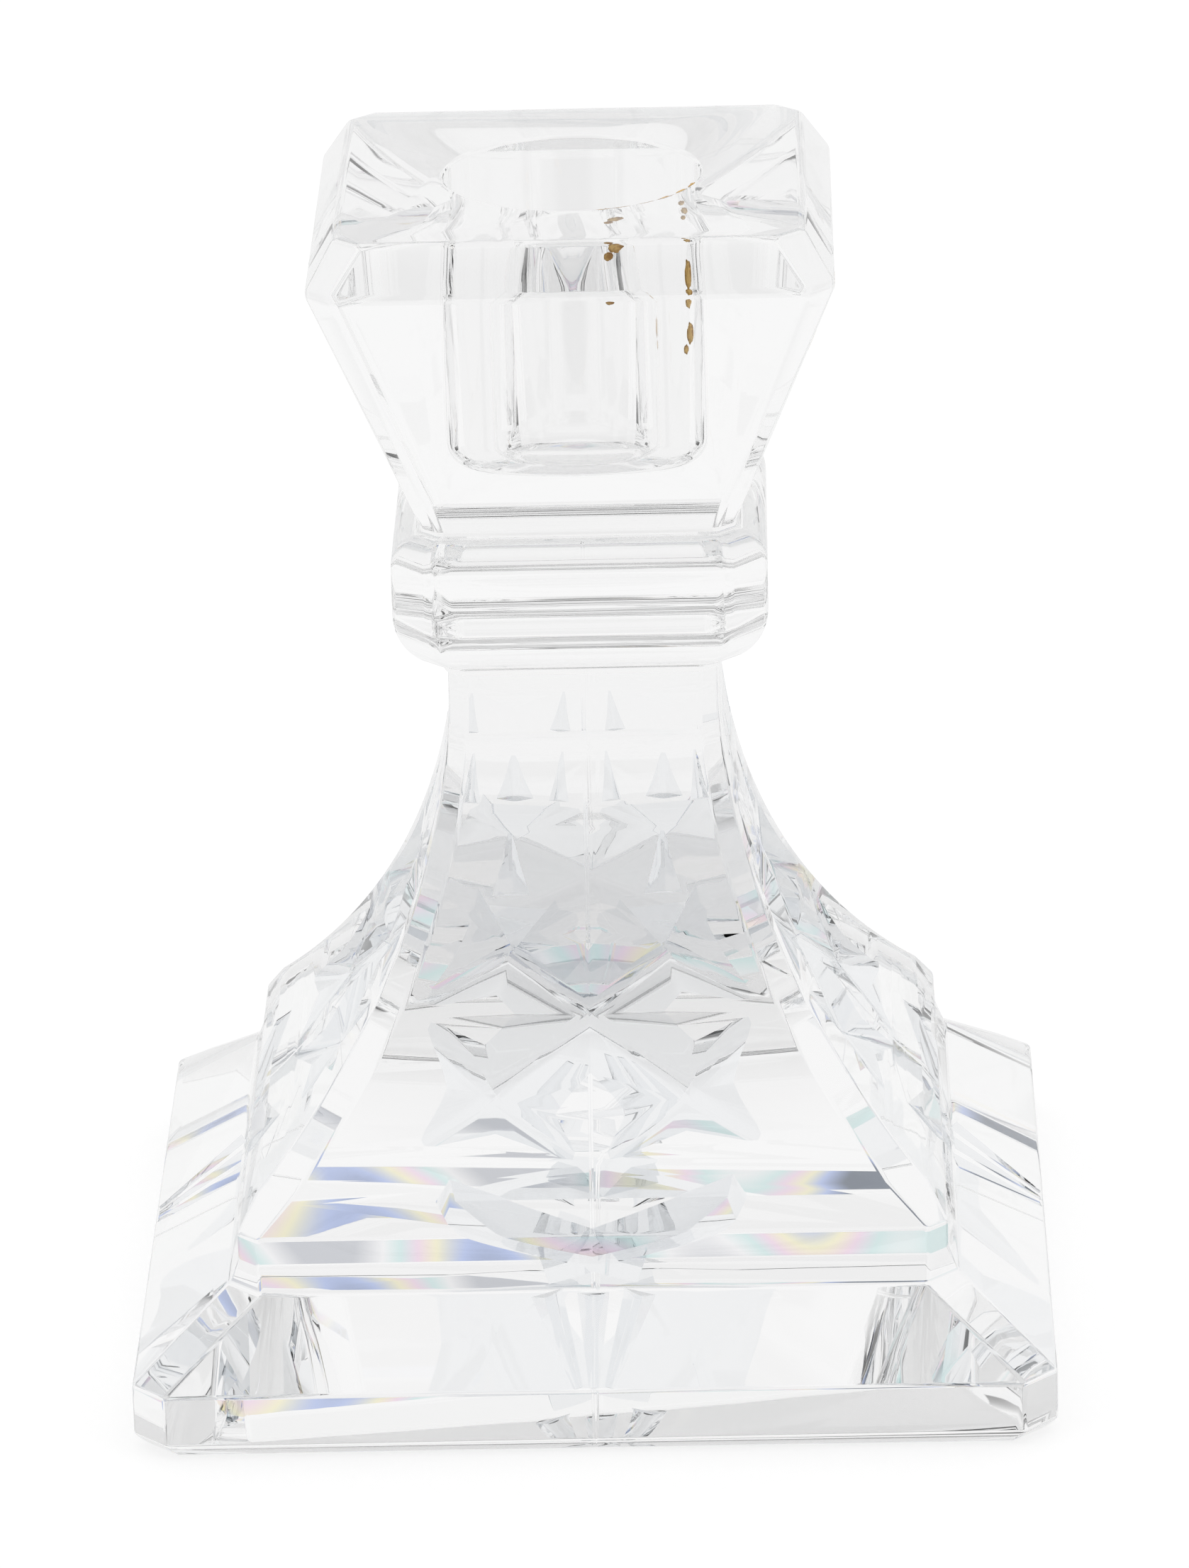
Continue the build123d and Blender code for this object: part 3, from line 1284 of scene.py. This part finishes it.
# ---------------------------------------------------------------------------- the studio
@dataclass
class Studio:
    """A pale table in soft white light, and the camera. Azimuth, elevations and roll are degrees."""

    azimuth: float = 1.24
    elevation: float = 20.54
    roll: float = -1.517
    distance: float = 847.6
    aim_across: float = 0.59
    aim_height: float = 48.46
    lens: float = 211.7
    sensor_width: float = 36.0
    clip: tuple[float, float] = (0.01, 20.0)
    table_radius: float = 2500.0
    table_sides: int = 96
    table_gap: float = 0.05
    # What the table and the room give off, and what the table adds where it is seen directly.
    table_paint: str = "#A0A0A0"
    table_glow: float = 0.62
    table_seen_glow: float = 0.12
    room_glow: float = 0.96
    # A dark flag draws the glass's edges. Its shade starts this many degrees from its middle, and
    # is full from the second angle inwards.
    flag_glow: float = 0.05
    flag_elevation: float = 20.5
    flag_edges: tuple[float, float] = (42.0, 25.0)
    # How many times light may turn back inside solid glass before it comes out.
    light_paths: int = 16

    def camera(self) -> None:
        """Set up the camera."""
        azimuth, elevation = math.radians(self.azimuth), math.radians(self.elevation)
        right = Vector((math.cos(azimuth), math.sin(azimuth), 0))
        back = Vector(
            (
                math.sin(azimuth) * math.cos(elevation),
                -math.cos(azimuth) * math.cos(elevation),
                math.sin(elevation),
            )
        )
        up = back.cross(right)
        roll = math.radians(self.roll)
        tilted_right = right * math.cos(roll) + up * math.sin(roll)
        tilted_up = up * math.cos(roll) - right * math.sin(roll)
        aim = right * self.aim_across + UP * self.aim_height
        data = bpy.data.cameras.new("studio_camera")
        data.lens = self.lens
        data.sensor_width = self.sensor_width
        data.clip_start, data.clip_end = self.clip
        camera = bpy.data.objects.new("studio_camera", data)
        turn = Matrix((tilted_right, tilted_up, back)).transposed().to_4x4()
        camera.matrix_world = Matrix.Translation((aim + back * self.distance) * MM) @ turn
        bpy.context.scene.collection.objects.link(camera)
        bpy.context.scene.camera = camera

    def table(self) -> None:
        """Lay a wide white table under the candlestick."""
        deselect_all()
        bpy.ops.mesh.primitive_circle_add(
            vertices=self.table_sides,
            radius=self.table_radius * MM,
            fill_type="NGON",
            location=(0, 0, -self.table_gap * MM),
        )
        table = bpy.context.object
        table.name = "white_table"
        material, tree, output = new_material("matt_white_table")
        paint = add_node(tree, "ShaderNodeBsdfDiffuse", {"Color": linear_rgb(self.table_paint)})
        ray = add_node(tree, "ShaderNodeLightPath")
        strength = add_node(
            tree,
            "ShaderNodeMath",
            {0: ray.outputs["Is Camera Ray"], 1: self.table_seen_glow, 2: self.table_glow},
            operation="MULTIPLY_ADD",
        )
        glow = add_node(tree, "ShaderNodeEmission", {"Strength": strength.outputs[0]})
        both = add_node(tree, "ShaderNodeAddShader", {0: paint.outputs[0], 1: glow.outputs[0]})
        tree.links.new(both.outputs[0], output.inputs["Surface"])
        table.data.materials.append(material)

    def light(self) -> None:
        """Surround the table with soft white light, with one round dark flag on the camera's side."""
        world = bpy.data.worlds.new("soft_white_room")
        bpy.context.scene.world = world
        world.use_nodes = True
        tree = world.node_tree
        tree.nodes.clear()
        output = add_node(tree, "ShaderNodeOutputWorld")
        place = add_node(tree, "ShaderNodeTexCoord")
        rise = math.radians(self.flag_elevation)
        flag = (0.0, -math.cos(rise), math.sin(rise))
        toward = add_node(
            tree,
            "ShaderNodeVectorMath",
            {0: place.outputs["Generated"], 1: flag},
            operation="DOT_PRODUCT",
        )
        edges = [math.cos(math.radians(angle)) for angle in self.flag_edges]
        shade_off = add_node(
            tree,
            "ShaderNodeMapRange",
            {
                "Value": toward.outputs["Value"],
                "From Min": edges[0],
                "From Max": edges[1],
                "To Min": self.room_glow,
                "To Max": self.flag_glow,
            },
            interpolation_type="SMOOTHSTEP",
        )
        ray = add_node(tree, "ShaderNodeLightPath")
        seen = add_node(
            tree,
            "ShaderNodeMath",
            {0: ray.outputs["Is Camera Ray"], 1: shade_off.outputs["Result"]},
            operation="MAXIMUM",
        )
        white = {"Color": linear_rgb("#FFFFFF"), "Strength": seen.outputs[0]}
        sky = add_node(tree, "ShaderNodeBackground", white)
        tree.links.new(sky.outputs[0], output.inputs["Surface"])

    def build(self) -> None:
        """Set up the table, the light and the camera."""
        self.table()
        self.light()
        self.camera()
        scene = bpy.context.scene
        scene.view_settings.view_transform = "Standard"
        scene.cycles.max_bounces = self.light_paths
        scene.cycles.glossy_bounces = self.light_paths
        scene.cycles.transmission_bounces = self.light_paths


def main() -> None:
    """Build the candlestick's pieces in order, then the studio."""
    logging.basicConfig(level=logging.INFO, format="%(name)s: %(message)s")
    _, foot_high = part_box("foot")
    cup_low, cup_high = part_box("candle_cup")
    foot = CrystalFoot(plinth_width=2 * foot_high.x / MM, height=foot_high.z / MM)
    cup = CandleCup(
        joint=cup_low.z / MM,
        top=cup_high.z / MM,
        lip_width=2 * cup_high.x / MM,
        neck_width=foot.neck_width,
        neck_cut=foot.neck_cut,
    )
    made = ((foot, "foot", "crystal_foot"), (cup, "candle_cup", "crystal_cup"))
    for maker, node, slot in made:
        piece = maker.build()
        dress_joint(piece, cup.joint)
        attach(piece, BODY)
        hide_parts(node)
        log.info("%s: %d faces", piece.name, len(piece.data.polygons))
    wax = WaxTraces(socket_radius=cup.socket_radius, top=cup.top).build()
    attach(wax, BODY)
    Studio().build()


if __name__ == "__main__":
    main()
